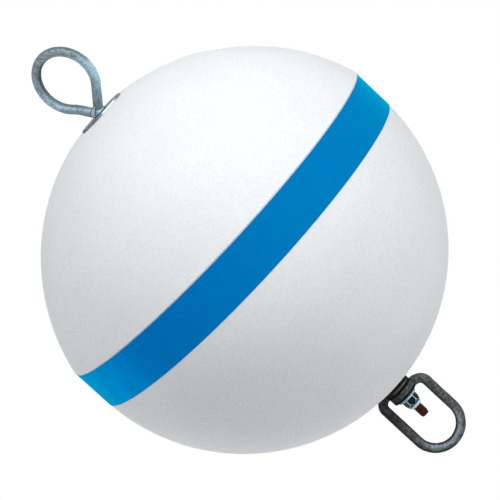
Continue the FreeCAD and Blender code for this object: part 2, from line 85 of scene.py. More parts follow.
print("the belt runs from %.1f to %.1f mm above it"
      % ((tape_low.z - ball_centre.z) / MM, (tape_high.z - ball_centre.z) / MM))
print("the eye's loop and the bail's bend have radii of %.1f and %.1f mm"
      % (loop_radius / MM, bend_radius / MM))

# %% [markdown]
# Colours are written as sRGB codes, which is how a paint chip or a picture gives them. The
# shaders work with linear light, so one function turns a code into linear numbers. A second
# one adds a node to a tree, sets its properties and feeds its inputs: a material or a
# geometry tree is then a short list of steps, each naming what it takes from the one before.

# %% Colour and node helpers
def linear(code):
    """Linear colour of an sRGB code such as #FFFFFF."""
    channels = [int(code[start:start + 2], 16) / 255 for start in (1, 3, 5)]
    return [c / 12.92 if c <= 0.04045 else ((c + 0.055) / 1.055) ** 2.4
            for c in channels] + [1.0]


def feed(tree, node, inputs):
    """Give a node's inputs a value each, or a link where the value is a socket."""
    for socket, value in inputs.items():
        if isinstance(value, bpy.types.NodeSocket):
            tree.links.new(value, node.inputs[socket])
        else:
            node.inputs[socket].default_value = value
    return node


def add_node(tree, kind, inputs=None, **settings):
    """Add a node with its settings, and feed its inputs."""
    node = tree.nodes.new(kind)
    for name, value in settings.items():
        setattr(node, name, value)
    return feed(tree, node, inputs or {})


def start_material(name):
    """New material: its tree, its shader and the object's own coordinates."""
    material = bpy.data.materials.new(name)
    material.use_nodes = True
    tree = material.node_tree
    place = add_node(tree, "ShaderNodeTexCoord").outputs["Object"]
    return material, tree, tree.nodes["Principled BSDF"], place


print("mid grey #808080 is %.3f in linear light" % linear("#808080")[0])

# %% [markdown]
# Noise is the start of almost every worn or moulded surface. Its scale is one over the size
# of a lump, so each pattern is asked for by its real size in millimetres. A mask then cuts
# the noise to a range, softly, and paint lays one colour over another by such a mask. The
# same three steps serve plastic, zinc and rust.

# %% Noise, masks and paint
def lumps(tree, place, size_mm, detail):
    """Noise whose lumps are about size_mm across."""
    return add_node(tree, "ShaderNodeTexNoise",
                    {"Vector": place, "Scale": 1 / (size_mm * MM),
                     "Detail": detail}).outputs["Fac"]


def mask(tree, value, low, high, to_low=0.0, to_high=1.0):
    """0 below low, 1 above high and a soft step between them, or other ends."""
    return add_node(tree, "ShaderNodeMapRange",
                    {"Value": value, "From Min": low, "From Max": high,
                     "To Min": to_low, "To Max": to_high},
                    interpolation_type="SMOOTHSTEP").outputs["Result"]


def paint(tree, share, under, over):
    """The colour over on the colour under, where share is 1; each a code or a socket."""
    under, over = [linear(colour) if isinstance(colour, str) else colour
                   for colour in (under, over)]
    return add_node(tree, "ShaderNodeMix", {0: share, 6: under, 7: over},
                    data_type="RGBA").outputs[2]


print("a 3 mm lump is a noise scale of %.0f" % (1 / (3 * MM)))

# %% [markdown]
# The ball's shell is rotationally moulded polyethylene. Molten powder sinters against the
# mould, so the skin keeps a fine orange peel, and it is dull rather than glossy. The peel
# is about 1.5 mm from lump to lump on the real shell. In a picture this size that is one
# pixel, so it is drawn at 2.6 mm. It could be modelled, but half a million points would be
# spent on dents of a few hundredths of a millimetre, which is what bump is for.

# %% Moulded polyethylene
def moulded_polyethylene():
    """White and dull, with a fine peel: it gives the eye a soft, faintly grainy white."""
    material, tree, shader, place = start_material("moulded_polyethylene")
    peel = lumps(tree, place, 2.6, 3.0)
    cloud = lumps(tree, place, 70.0, 3.0)
    clouded = paint(tree, mask(tree, cloud, 0.35, 0.7), "#F0F4F6", "#EDF1F3")
    grained = paint(tree, mask(tree, peel, 0.4, 0.72, 0.0, 0.5), clouded, "#E2E6E9")
    bump = add_node(tree, "ShaderNodeBump", {"Height": peel, "Strength": 0.3,
                                             "Distance": 0.1 * MM})
    feed(tree, shader, {"Base Color": grained, "IOR": 1.51, "Specular IOR Level": 0.05,
                        "Roughness": mask(tree, peel, 0.3, 0.7, 0.42, 0.55),
                        "Normal": bump.outputs["Normal"]})
    return material


shell_white = moulded_polyethylene()
print("made", shell_white.name)

# %% [markdown]
# Sun, salt and hands don't wear a piece evenly: it depends on how high a point lies, or how
# far to one side. Both are one measure, the reach of a place along a direction, so one
# function takes it. The same function tells how far a surface turns to a direction. The
# picture looks at the eye from 38 degrees round, and that angle gives the picture's right.

# %% Measures along a direction
VIEW_AZIMUTH = radians(38.0)
PICTURE_RIGHT = Vector((cos(VIEW_AZIMUTH), sin(VIEW_AZIMUTH), 0))
UP = Vector((0, 0, 1))


def along(tree, place, direction):
    """How far a place lies along a direction, or how far a heading turns to it."""
    return add_node(tree, "ShaderNodeVectorMath", {0: place, 1: direction},
                    operation="DOT_PRODUCT").outputs["Value"]


print("the picture's right is", [round(value, 3) for value in PICTURE_RIGHT])

# %% [markdown]
# The belt is adhesive vinyl tape, calendered smooth and stretched round the ball. Sun and
# salt have taken its gloss, so all that is left is a pale bloom where one looks along the
# film. Its blue is painted lighter toward the picture's left, most at that end, as painted
# sheen. It follows the belt under it, so it isn't dead flat: slight waves come from the pull
# on the roll and run round the band.

# %% Calendered vinyl
def calendered_vinyl():
    """Plain blue film: a clean saturated band with a bloom at its ends, and painted sheen at
    its left.
    """
    material, tree, shader, place = start_material("calendered_vinyl")
    stretched = add_node(tree, "ShaderNodeMapping",
                         {"Vector": place, "Scale": (1, 1, 0.35)}).outputs["Vector"]
    wave = lumps(tree, stretched, 18.0, 2.0)
    grain = lumps(tree, place, 2.2, 2.0)
    side = along(tree, place, PICTURE_RIGHT)
    # Painted sheen: the blue is painted lighter toward the picture's left, and paler still at
    # its left end.
    blue = paint(tree, mask(tree, side, 60 * MM, -180 * MM), "#007DC0", "#0080DC")
    painted_sheen = mask(tree, side, -150 * MM, -210 * MM)
    blue = paint(tree, painted_sheen, blue, "#009CFF")
    blue = paint(tree, mask(tree, wave, 0.35, 0.7, 0.0, 0.5), blue, "#0078C4")
    blue = paint(tree, mask(tree, grain, 0.45, 0.8, 0.0, 0.4), blue, "#0072BC")
    bump = add_node(tree, "ShaderNodeBump", {"Height": wave, "Strength": 0.2,
                                             "Distance": 0.2 * MM})
    feed(tree, shader, {"Base Color": blue, "IOR": 1.53, "Specular IOR Level": 0.0,
                        "Roughness": mask(tree, grain, 0.3, 0.7, 0.42, 0.5),
                        "Sheen Weight": 1.0, "Sheen Roughness": 0.42,
                        "Sheen Tint": linear("#00D6FF"),
                        "Normal": bump.outputs["Normal"]})
    return material


tape_blue = calendered_vinyl()
print("made", tape_blue.name)

# %% [markdown]
# Wear and painted light follow the form as well. The inside of a bend is rubbed and painted
# light, its flanks carry painted shade, edges are painted bright on the nut and dark on the
# rod, and seams carry painted shade. The inside of a bend is where the surface faces the
# bend's centre. Edges and seams are read from the relief that a later step stores on the
# points of the steel. Masks are then joined as words join them: both of two, or either.

# %% Masks that follow the form
def both(tree, first, second):
    """1 where both masks are 1."""
    return add_node(tree, "ShaderNodeMath", {0: first, 1: second},
                    operation="MULTIPLY").outputs[0]


def either(tree, first, second):
    """1 where either mask is 1."""
    return add_node(tree, "ShaderNodeMath", {0: first, 1: second},
                    operation="MAXIMUM").outputs[0]


def facing(tree, place, centre):
    """1 where the surface faces a point, 0 where it lies along, -1 where it faces away."""
    heading = add_node(tree, "ShaderNodeTexCoord").outputs["Normal"]
    offset = add_node(tree, "ShaderNodeVectorMath", {0: centre, 1: place},
                      operation="SUBTRACT")
    to_centre = add_node(tree, "ShaderNodeVectorMath", {0: offset.outputs[0]},
                         operation="NORMALIZE")
    return along(tree, heading, to_centre.outputs[0])


def relief(tree):
    """How far a point stands out of its surroundings, in metres: above 0 on an edge."""
    return add_node(tree, "ShaderNodeAttribute", attribute_name="relief").outputs["Fac"]


print("the inside of the eye's loop faces", [round(value, 4) for value in loop_centre])

# %% [markdown]
# The rod and its plate are mild steel, dipped in molten zinc after welding. Fresh zinc is
# bright, but in salt air it turns within weeks to a dull blue-grey patina. It is darker on
# the crown of the eye, which is handled, and along the inside of the loop, and the loop's
# outermost line carries painted shade. Toward the plate, the right leg's side toward the
# picture's right is painted pale as painted light, and the outside of the free leg is
# painted dark as painted shade.

# %% Patina of the zinc
DARK_ZINC = "#3A4347"


def zinc_patina(tree, place, heading, patch):
    """Blue-grey zinc, darker on the crown and inside the loop, with painted light and shade on
    the legs.
    """
    height = along(tree, place, UP)
    side = along(tree, place, PICTURE_RIGHT)
    sheltered = paint(tree, mask(tree, patch, 0.34, 0.62), "#7F9AA6", "#A6C4D1")
    handled = paint(tree, mask(tree, patch, 0.36, 0.64), "#6C7A80", "#93A6AE")
    crown = mask(tree, height, -34 * MM, -8 * MM)
    zinc = paint(tree, crown, sheltered, handled)

    # Darker along the inside of the loop, and painted shade along its outer line except on the
    # right leg.
    inner = facing(tree, place, loop_centre)
    right_leg = both(tree, mask(tree, height, -28 * MM, -40 * MM),
                     mask(tree, side, 0.0, 3 * MM))
    outer = both(tree, mask(tree, inner, -0.7, -0.98, 0.0, 0.5),
                 mask(tree, right_leg, 1.0, 0.0))
    wear_and_painted_light = either(tree, mask(tree, inner, 0.5, 0.95, 0.0, 0.7), outer)
    zinc = paint(tree, wear_and_painted_light, zinc, DARK_ZINC)

    # Painted light: low on the right leg, the side toward the picture's right is painted pale.
    flank = along(tree, heading, PICTURE_RIGHT)
    painted_light_flank = both(tree, right_leg, mask(tree, flank, -0.4, 0.7, 0.0, 0.8))
    zinc = paint(tree, painted_light_flank, zinc, "#B9DFF0")
    # Painted shade: low on the legs, the side turned from the picture's right is painted dark.
    painted_shade_flank = both(tree, mask(tree, height, -38 * MM, -56 * MM),
                 mask(tree, flank, -0.3, -0.9, 0.0, 0.6))
    return paint(tree, painted_shade_flank, zinc, DARK_ZINC)


print("the plate lies %.1f mm below the inside of the eye's crown" % (-plate_high.z / MM))

# %% [markdown]
# The free leg of the eye was sawn off square before dipping, and its cut face is painted
# near white as painted light. The rod's other end was cut and threaded after dipping, so it
# has no zinc, and it is brown with rust. Dark specks finish the surface, raised edges are
# painted darker, and seams carry painted shade.

# %% Hot-dip galvanised steel
FREE_END = Vector((0.0, -9.0 * MM, plate_high.z + 4.7 * MM))
FREE_END_HEADING = Vector((0.73, -0.27, -0.63))


def galvanised_steel():
    """Dull, mottled zinc: a weathered ring to look at, with a painted light cut face and a
    rusty end.
    """
    material, tree, shader, place = start_material("hot_dip_galvanised_steel")
    heading = add_node(tree, "ShaderNodeTexCoord").outputs["Normal"]
    patch = lumps(tree, place, 3.2, 4.0)
    speck = lumps(tree, place, 1.3, 3.0)
    zinc = zinc_patina(tree, place, heading, patch)
    zinc = paint(tree, mask(tree, speck, 0.53, 0.66, 0.0, 0.6), zinc, "#46535A")

    # Painted light: the cut face of the free leg is painted near white.
    away = add_node(tree, "ShaderNodeVectorMath", {0: place, 1: FREE_END},
                    operation="DISTANCE").outputs["Value"]
    square = along(tree, heading, FREE_END_HEADING)
    painted_light_cut_face = both(tree, mask(tree, square, 0.75, 0.92),
                    mask(tree, away, 7.0 * MM, 5.5 * MM))
    zinc = paint(tree, painted_light_cut_face, zinc, "#EAF4F7")
    # Raised edges are painted darker, and seams carry painted shade.
    edge = mask(tree, relief(tree), 0.1 * MM, 0.25 * MM, 0.0, 0.8)
    seam = mask(tree, relief(tree), -0.03 * MM, -0.14 * MM, 0.0, 0.7)
    zinc = paint(tree, either(tree, edge, seam), zinc, "#2C3336")

    rust = paint(tree, mask(tree, speck, 0.4, 0.62), "#300F0B", "#602519")
    bare_end = mask(tree, along(tree, place, UP), nut_low.z, nut_low.z - 0.5 * MM)
    zinc_roughness = mask(tree, patch, 0.35, 0.65, 0.45, 0.6)
    rust_roughness = mask(tree, bare_end, 0.0, 1.0, 0.0, 0.85)
    roughness = add_node(tree, "ShaderNodeMath", {0: zinc_roughness, 1: rust_roughness},
                         operation="MAXIMUM")
    bump = add_node(tree, "ShaderNodeBump", {"Height": speck, "Strength": 0.4,
                                             "Distance": 0.15 * MM})
    feed(tree, shader, {"Base Color": paint(tree, bare_end, zinc, rust),
                        "Metallic": mask(tree, bare_end, 0.0, 1.0, 0.3, 0.0),
                        "Specular IOR Level": 0.3,
                        "Roughness": roughness.outputs[0],
                        "Normal": bump.outputs["Normal"]})
    return material


zinc_grey = galvanised_steel()
print("made", zinc_grey.name)

# %% [markdown]
# The bail's two ends are forged flat and punched for the rod, and they have colours of their
# own. The one next to the ball is painted nearly black, a dark forging under painted shade
# from the ball, with a painted highlight along its lower edge. The lower one is painted
# darker toward the picture's left as painted shade. Painted shade also lies in the gap
# between them, along the top against the ball and at the foot. They are told from the bar
# by their distance from the rod's axis, and from each other by height.

# %% Colours of the forged eyes
def band(tree, value, low, high, soft):
    """1 between low and high and 0 outside, with soft ends."""
    return both(tree, mask(tree, value, low - soft, low + soft),
                mask(tree, value, high + soft, high - soft))


def from_axis(tree, place):
    """How far a place lies from the rod's axis."""
    level = add_node(tree, "ShaderNodeVectorMath", {0: place, 1: (1, 1, 0)},
                     operation="MULTIPLY")
    return add_node(tree, "ShaderNodeVectorMath", {0: level.outputs[0]},
                    operation="LENGTH").outputs["Value"]


def forged_eyes(tree, place, side, mottled, plain):
    """Colour and extent of the two forged eyes, with painted shade and a painted highlight on
    them.
    """
    height = along(tree, place, UP)
    reach = from_axis(tree, place)
    eyes = both(tree, mask(tree, reach, LUG_RADIUS + 1.5 * MM, LUG_RADIUS + 0.5 * MM),
                mask(tree, height, lower_eye_foot - 2 * MM, lower_eye_foot - 1 * MM))
    # The upper eye is painted nearly black, dark forging under painted shade from the ball;
    # the lower eye is painted darker toward the picture's left as painted shade.
    upper = paint(tree, mottled, "#0C0706", "#1F1614")
    lower = paint(tree, mask(tree, side, 2 * MM, -15 * MM, 0.0, 0.85), plain, "#141211")
    colour = paint(tree, mask(tree, height, lower_eye_top, upper_eye_foot), lower, upper)
    # Painted highlight along the upper eye's lower edge.
    lip = both(tree, band(tree, side, -8 * MM, 12 * MM, 3 * MM),
               band(tree, height, upper_eye_foot + 1.4 * MM, upper_eye_foot + 3.6 * MM,
                    0.6 * MM))
    colour = paint(tree, lip, colour, "#6E665D")

    # Painted shade in the gap between the eyes, along the top against the ball, and at the
    # foot.
    seam = both(tree, eyes, band(tree, height, lower_eye_top - 1.5 * MM,
                                 upper_eye_foot + 1.1 * MM, 0.3 * MM))
    top = mask(tree, height, bail_high.z - 3.4 * MM, bail_high.z - 1.6 * MM)
    foot = both(tree, eyes, mask(tree, height, lower_eye_foot + 3.3 * MM,
                                 lower_eye_foot + 2.6 * MM))
    return eyes, colour, either(tree, seam, either(tree, top, foot))


print("the eyes reach %.1f mm from the rod's axis" % (LUG_RADIUS / MM))

# %% [markdown]
# The bail is forged and dipped too, but chain and shackle have worn it. Its left arm above
# the bend is painted dark as painted shade, and so are the bar's flanks and outer sides. The
# inside of the lower bend, where the chain pulls, is rubbed and also painted a cool light
# grey as painted light, and small dark pits show where the zinc has gone.

# %% Weathered forging
def weathered_forging():
    """Dark, mottled zinc: it gives the eye a heavy, used piece beside the bright washer."""
    material, tree, shader, place = start_material("weathered_galvanised_forging")
    height = along(tree, place, UP)
    side = along(tree, place, PICTURE_RIGHT)
    patch = lumps(tree, place, 4.0, 4.0)
    pit = lumps(tree, place, 2.0, 3.0)
    mottled = mask(tree, patch, 0.36, 0.64)

    # The darkest tone is painted shade, laid on the left arm above the bend.
    blotched = paint(tree, mottled, "#2A262C", "#48454B")
    plain = paint(tree, mottled, "#474B4C", "#6C7171")
    wear_and_painted_light = paint(tree, mottled, "#8496A0", "#A8BCC7")
    free_of_painted_shade = either(tree, mask(tree, side, -6 * MM, 8 * MM),
                     mask(tree, height, bend_centre.z + 48 * MM, bend_centre.z))
    # The inside of the lower bend is rubbed, and painted light as well.
    from_bend = add_node(tree, "ShaderNodeVectorMath", {0: place, 1: bend_centre},
                         operation="DISTANCE").outputs["Value"]
    pulled = both(tree, mask(tree, from_bend, bend_radius + 4 * MM, bend_radius - 3 * MM),
                  mask(tree, height, bend_centre.z + 8 * MM, bend_centre.z - 20 * MM))
    zinc = paint(tree, pulled, paint(tree, free_of_painted_shade, blotched, plain), wear_and_painted_light)

    # Painted shade on the bar's flanks and outer sides.
    above_bend = add_node(tree, "ShaderNodeMath", {0: height, 1: bend_centre.z},
                          operation="MAXIMUM")
    on_axis = add_node(tree, "ShaderNodeCombineXYZ", {"Z": above_bend.outputs[0]})
    inner = facing(tree, place, on_axis.outputs[0])
    left_outside = both(tree, mask(tree, inner, -0.45, -0.82, 0.0, 0.88),
                        mask(tree, side, 2 * MM, -2 * MM))
    outside = either(tree, left_outside, mask(tree, inner, -0.8, -1.0, 0.0, 0.6))
    flank_shade = either(tree, mask(tree, inner, 0.4, 0.76, 0.0, 0.92), outside)
    zinc = paint(tree, flank_shade, zinc, "#171417")

    eyes, eye_colour, contact_shade = forged_eyes(tree, place, side, mottled, plain)
    zinc = paint(tree, eyes, zinc, eye_colour)
    zinc = paint(tree, mask(tree, pit, 0.56, 0.66, 0.0, 0.8), zinc, "#2B292B")
    # Painted shade in the eyes' gap, along the top against the ball, and at the foot.
    zinc = paint(tree, contact_shade, zinc, "#040304")
    painted_shade = either(tree, flank_shade, contact_shade)
    bump = add_node(tree, "ShaderNodeBump", {"Height": pit, "Strength": 0.4,
                                             "Distance": 0.2 * MM})
    feed(tree, shader, {"Base Color": zinc, "Metallic": mask(tree, painted_shade, 0.0, 0.8, 0.15, 0.0),
                        "Specular IOR Level": 0.08,
                        "Roughness": mask(tree, patch, 0.35, 0.65, 0.45, 0.6),
                        "Normal": bump.outputs["Normal"]})
    return material


bail_grey = weathered_forging()
print("made", bail_grey.name)

# %% [markdown]
# Nut and washer are electroplated with zinc and passivated. The plating is thin and
# smooth. The nut's flats are painted dark and bluish as a painted reflection, and its edges
# and lower collar are painted bright zinc as painted highlights; the washer below the nut is
# painted bright zinc. The edges are found by the relief that the mesh carries, so the
# bright line runs wherever the form has an edge. The plate under the eye carries painted
# reflections: its rim is painted bright on one side and dark at its left end, and its top
# is painted dark.

# %% Zinc plating with rubbed edges
def plated_zinc(name, dark, light, bright_below):
    """Plated zinc in two tones, with painted highlights of bright metal on edges and below a
    height.
    """
    material, tree, shader, place = start_material(name)
    stain = lumps(tree, place, 3.0, 3.0)
    faces = paint(tree, mask(tree, stain, 0.38, 0.64), dark, light)
    # Painted highlight: edges, and all below a height, are painted bright zinc.
    edge = mask(tree, relief(tree), 0.06 * MM, 0.13 * MM)
    collar = mask(tree, along(tree, place, UP), bright_below + 0.2 * MM,
                  bright_below - 0.2 * MM)
    colour = paint(tree, either(tree, edge, collar), faces, "#DDF3F9")
    bump = add_node(tree, "ShaderNodeBump", {"Height": stain, "Strength": 0.2,
                                             "Distance": 0.05 * MM})
    feed(tree, shader, {"Base Color": colour, "Metallic": 0.1, "Specular IOR Level": 0.08,
                        "Roughness": mask(tree, stain, 0.35, 0.65, 0.28, 0.4),
                        "Normal": bump.outputs["Normal"]})
    return material


def plate_with_painted_reflections():
    """Zinc with painted reflections: a dark top, and a rim bright on one side and dark at one
    end.
    """
    material, tree, shader, place = start_material("galvanised_plate_with_painted_reflections")
    side = along(tree, place, PICTURE_RIGHT)
    stain = lumps(tree, place, 4.0, 3.0)
    blotched = mask(tree, stain, 0.36, 0.66)
    rim = paint(tree, blotched, "#56666F", "#8396A0")
    # Painted reflection: the rim is painted bright toward the picture's right and dark at its
    # left end.
    rim = paint(tree, band(tree, side, 0.0, 21 * MM, 3 * MM), rim, "#EAF8FB")
    rim = paint(tree, mask(tree, side, -22 * MM, -28 * MM), rim, "#22282C")
    # Painted dark reflection on the top face.
    painted_dark_reflection = paint(tree, blotched, "#2E393F", "#566872")
    top = mask(tree, along(tree, place, UP), plate_high.z - 0.6 * MM,
               plate_high.z - 0.1 * MM)
    bump = add_node(tree, "ShaderNodeBump", {"Height": stain, "Strength": 0.3,
                                             "Distance": 0.1 * MM})
    feed(tree, shader, {"Base Color": paint(tree, top, rim, painted_dark_reflection), "Metallic": 0.2,
                        "Roughness": 0.45, "Normal": bump.outputs["Normal"]})
    return material


NUT_COLLAR_HEIGHT = 3.4 * MM
# The nut's flats are painted near black as a painted reflection, and its lower collar is
# painted bright.
nut_zinc = plated_zinc("zinc_plate_with_painted_reflections", "#020D14", "#0B293B",
                       nut_low.z + NUT_COLLAR_HEIGHT)
washer_zinc = plated_zinc("zinc_plated_washer", "#8FB6C0", "#BFE3EA", nut_low.z)
plate_zinc = plate_with_painted_reflections()
print("made", nut_zinc.name, washer_zinc.name, plate_zinc.name)

# %% [markdown]
# Three pieces are hidden while the buoy is whole: the nylon ring in the nut, the tube and
# the foam. They still get the finish that their makers give them, so the model is right
# when it is taken apart.

# %% Hidden plastics
def plain_plastic(name, dark, light, grain_mm, rough, depth_mm):
    """A plain plastic, with the grain that its process leaves."""
    material, tree, shader, place = start_material(name)
    grain = lumps(tree, place, grain_mm, 2.0)
    colour = paint(tree, mask(tree, grain, 0.35, 0.65), dark, light)
    bump = add_node(tree, "ShaderNodeBump", {"Height": grain, "Strength": 0.6,
                                             "Distance": depth_mm * MM})
    feed(tree, shader, {"Base Color": colour, "Roughness": rough,
                        "Normal": bump.outputs["Normal"]})
    return material


nylon = plain_plastic("turned_nylon", "#D8D8CC", "#E6E6DC", 0.8, 0.4, 0.02)
tube_grey = plain_plastic("extruded_tube_plastic", "#D0D2D2", "#DCDEDE", 4.0, 0.35, 0.03)
foam_cream = plain_plastic("closed_cell_foam", "#CDBD8C", "#E6D9AE", 1.4, 0.85, 0.5)
print("made", nylon.name, tube_grey.name, foam_cream.name)

# %% [markdown]
# Geometry Nodes make what repeats or follows a path. Each tree is built here with named
# inputs for its sizes. It ends by turning its instances into real points and giving them
# the piece's material, so that what it makes can be kept as a plain mesh.

# %% Start and end of a geometry tree
def new_tree(name, sizes, takes_mesh=False):
    """Geometry tree with named number inputs and a material input."""
    tree = bpy.data.node_groups.new(name, "GeometryNodeTree")
    if takes_mesh:
        tree.interface.new_socket("Mesh", in_out="INPUT", socket_type="NodeSocketGeometry")
    for size_name in sizes:
        tree.interface.new_socket(size_name, in_out="INPUT", socket_type="NodeSocketFloat")
    tree.interface.new_socket("Material", in_out="INPUT", socket_type="NodeSocketMaterial")
    tree.interface.new_socket("Result", in_out="OUTPUT", socket_type="NodeSocketGeometry")
    return tree, add_node(tree, "NodeGroupInput").outputs


def end_tree(tree, geometry, material):
    """Close a tree: real points instead of instances, and the piece's material."""
    realised = add_node(tree, "GeometryNodeRealizeInstances", {0: geometry})
    dressed = add_node(tree, "GeometryNodeSetMaterial",
                       {"Geometry": realised.outputs[0], "Material": material})
    add_node(tree, "NodeGroupOutput", {0: dressed.outputs[0]})
    return tree


print("geometry trees so far:", len(bpy.data.node_groups))

# %% [markdown]
# A tree runs once on a holder object, and its result is kept as a plain mesh: nothing is
# left live for the export to trip over. An input is set by its identifier, because a name
# isn't what the modifier stores it by.

# %% From a tree to a mesh
def place_mesh(name, mesh):
    """Object at the origin that shows a mesh."""
    piece = bpy.data.objects.new(name, mesh)
    bpy.context.scene.collection.objects.link(piece)
    return piece


def baked(piece, name):
    """Plain mesh of an object with its modifiers applied; the object goes."""
    evaluated = piece.evaluated_get(bpy.context.evaluated_depsgraph_get())
    mesh = bpy.data.meshes.new_from_object(evaluated)
    mesh.name = name
    bpy.data.objects.remove(piece)
    return mesh


def grown(name, tree, values, mesh=None):
    """Mesh that a tree makes, alone or from another mesh."""
    holder = place_mesh(name + "_holder", mesh or bpy.data.meshes.new(name + "_start"))
    modifier = holder.modifiers.new("nodes", "NODES")
    modifier.node_group = tree
    for item in tree.interface.items_tree:
        if item.in_out == "INPUT" and item.name in values:
            modifier[item.identifier] = values[item.name]
    return baked(holder, name)


# %% [markdown]
# The weld at the foot of the eye is a run of overlapping beads round the rod, open in front
# where the free leg's cut end comes down. A mesh could be sculpted, but the welder's rule is
# simple: one bead, one step on, the next bead. So the tree puts a flattened ball at each
# step of an arc, with a slightly different size every time, and a later remesh melts them
# into the rod.

# %% Weld beads on an arc
def lifted(tree, geometry, height):
    """Geometry moved up by a height."""
    lift = add_node(tree, "ShaderNodeCombineXYZ", {"Z": height})
    return add_node(tree, "GeometryNodeTransform",
                    {"Geometry": geometry, "Translation": lift.outputs[0]}).outputs[0]


def weld_arc_tree():
    """Overlapping beads along a level arc round the rod."""
    tree, given = new_tree("weld_arc", ["Arc radius", "Bead radius", "Height", "Start",
                                        "Sweep", "Beads"])
    arc = add_node(tree, "GeometryNodeCurveArc",
                   {"Resolution": given["Beads"], "Radius": given["Arc radius"],
                    "Start Angle": given["Start"], "Sweep Angle": given["Sweep"]})
    bead = add_node(tree, "GeometryNodeMeshIcoSphere",
                    {"Radius": given["Bead radius"], "Subdivisions": 3})
    stretch = add_node(tree, "FunctionNodeRandomValue",
                       {0: (0.85, 0.85, 0.7), 1: (1.15, 1.15, 0.95), "Seed": 3},
                       data_type="FLOAT_VECTOR")
    beads = add_node(tree, "GeometryNodeInstanceOnPoints",
                     {"Points": lifted(tree, arc.outputs["Curve"], given["Height"]),
                      "Instance": bead.outputs["Mesh"], "Scale": stretch.outputs[0]})
    return end_tree(tree, beads.outputs["Instances"], given["Material"])


BEAD_RADIUS = 1.9 * MM
BEAD_ABOVE_PLATE = 0.8 * MM
ARC_RADIUS = 6.8 * MM
weld_beads = grown("weld_beads", weld_arc_tree(),
                   {"Arc radius": ARC_RADIUS, "Bead radius": BEAD_RADIUS,
                    "Height": plate_high.z + BEAD_ABOVE_PLATE, "Start": radians(-35),
                    "Sweep": radians(250), "Beads": 12.0, "Material": zinc_grey})
print("weld beads:", len(weld_beads.polygons), "faces")

# %% [markdown]
# The rod's end carries a rolled thread. The solid has a plain cylinder there, of the
# thread's outer diameter. Here the cylinder is drawn in to the thread's root, and a helix
# of one round ridge is wound on it. A helix is a rule, pitch and radius, so it is a curve
# in a tree with a small circle swept along it.

# %% Rolled thread
def thread_tree():
    """Round ridge wound up from a given height."""
    tree, given = new_tree("rolled_thread",
                           ["Ridge centre radius", "Ridge radius", "Foot", "Length", "Turns"])
    helix = add_node(tree, "GeometryNodeCurveSpiral",
                     {"Resolution": 40, "Rotations": given["Turns"],
                      "Start Radius": given["Ridge centre radius"],
                      "End Radius": given["Ridge centre radius"],
                      "Height": given["Length"]})
    section = add_node(tree, "GeometryNodeCurvePrimitiveCircle",
                       {"Resolution": 8, "Radius": given["Ridge radius"]})
    ridge = add_node(tree, "GeometryNodeCurveToMesh",
                     {"Curve": helix.outputs[0], "Profile Curve": section.outputs[0],
                      "Fill Caps": True})
    raised = lifted(tree, ridge.outputs["Mesh"], given["Foot"])
    return end_tree(tree, raised, given["Material"])


THREAD_PITCH = 1.814 * MM
THREAD_RADIUS = 5.5 * MM
RIDGE_RADIUS = 0.62 * MM
ROUNDED_TIP = 2.0 * MM
INTO_NUT = 2.0 * MM
thread_foot = rod_low.z + ROUNDED_TIP
thread_length = nut_low.z + INTO_NUT - thread_foot
thread_turns = thread_length / THREAD_PITCH
thread_ridge = grown("thread_ridge", thread_tree(),
                     {"Ridge centre radius": THREAD_RADIUS - RIDGE_RADIUS,
                      "Ridge radius": RIDGE_RADIUS, "Foot": thread_foot,
                      "Length": thread_length, "Turns": thread_turns,
                      "Material": zinc_grey})
print("thread of %.1f turns below the nut" % thread_turns)

# %% [markdown]
# Dipped and forged steel isn't as true as a solid: zinc runs and scale leave shallow lumps
# a few millimetres apart. A voxel remesh first spreads points evenly over the piece, and a
# tree then moves each point along its normal by noise. Where a piece turns on another, its
# surface stays true: the tree leaves a column round the rod's axis alone, below a height.

# %% Cast surface
def moved_tree(tree, geometry, direction, distance, material):
    """Close a tree that moves the points, and shade the result smooth."""
    push = add_node(tree, "ShaderNodeVectorMath", {0: direction, "Scale": distance},
                    operation="SCALE")
    moved = add_node(tree, "GeometryNodeSetPosition",
                     {"Geometry": geometry, "Offset": push.outputs[0]})
    smooth = add_node(tree, "GeometryNodeSetShadeSmooth", {"Geometry": moved.outputs[0]})
    return end_tree(tree, smooth.outputs[0], material)


def cast_surface_tree():
    """Shallow lumps along the normals, except in a column round the axis."""
    tree, given = new_tree("cast_surface",
                           ["Lump", "Depth", "True radius", "True top"], takes_mesh=True)
    position = add_node(tree, "GeometryNodeInputPosition").outputs[0]
    outside = add_node(tree, "ShaderNodeMath",
                       {0: from_axis(tree, position), 1: given["True radius"]},
                       operation="GREATER_THAN")
    above = add_node(tree, "ShaderNodeMath",
                     {0: along(tree, position, UP), 1: given["True top"]},
                     operation="GREATER_THAN")
    free = either(tree, outside.outputs[0], above.outputs[0])
    fineness = add_node(tree, "ShaderNodeMath", {0: 1.0, 1: given["Lump"]},
                        operation="DIVIDE")
    lump = add_node(tree, "ShaderNodeTexNoise",
                    {"Vector": position, "Scale": fineness.outputs[0], "Detail": 2.0})
    centred = add_node(tree, "ShaderNodeMath", {0: lump.outputs["Fac"], 1: 0.5},
                       operation="SUBTRACT")
    depth = add_node(tree, "ShaderNodeMath", {0: centred.outputs[0], 1: given["Depth"]},
                     operation="MULTIPLY")
    free_depth = add_node(tree, "ShaderNodeMath", {0: depth.outputs[0], 1: free},
                          operation="MULTIPLY")
    normal = add_node(tree, "GeometryNodeInputNormal").outputs[0]
    return moved_tree(tree, given["Mesh"], normal, free_depth.outputs[0],
                      given["Material"])


cast_surface = cast_surface_tree()
print("cast surface tree has", len(cast_surface.nodes), "nodes")

# %% [markdown]
# Edges and seams can both be read from the shape: blur every point's place with its
# neighbours', and an edge lies outside the blurred surface, a seam inside it. The tree
# stores that distance on each point as "relief", and the materials paint edges by it, a
# painted highlight on the nut and darker on the rod, and lay painted shade in seams. The
# same step can soften the mesh a little.

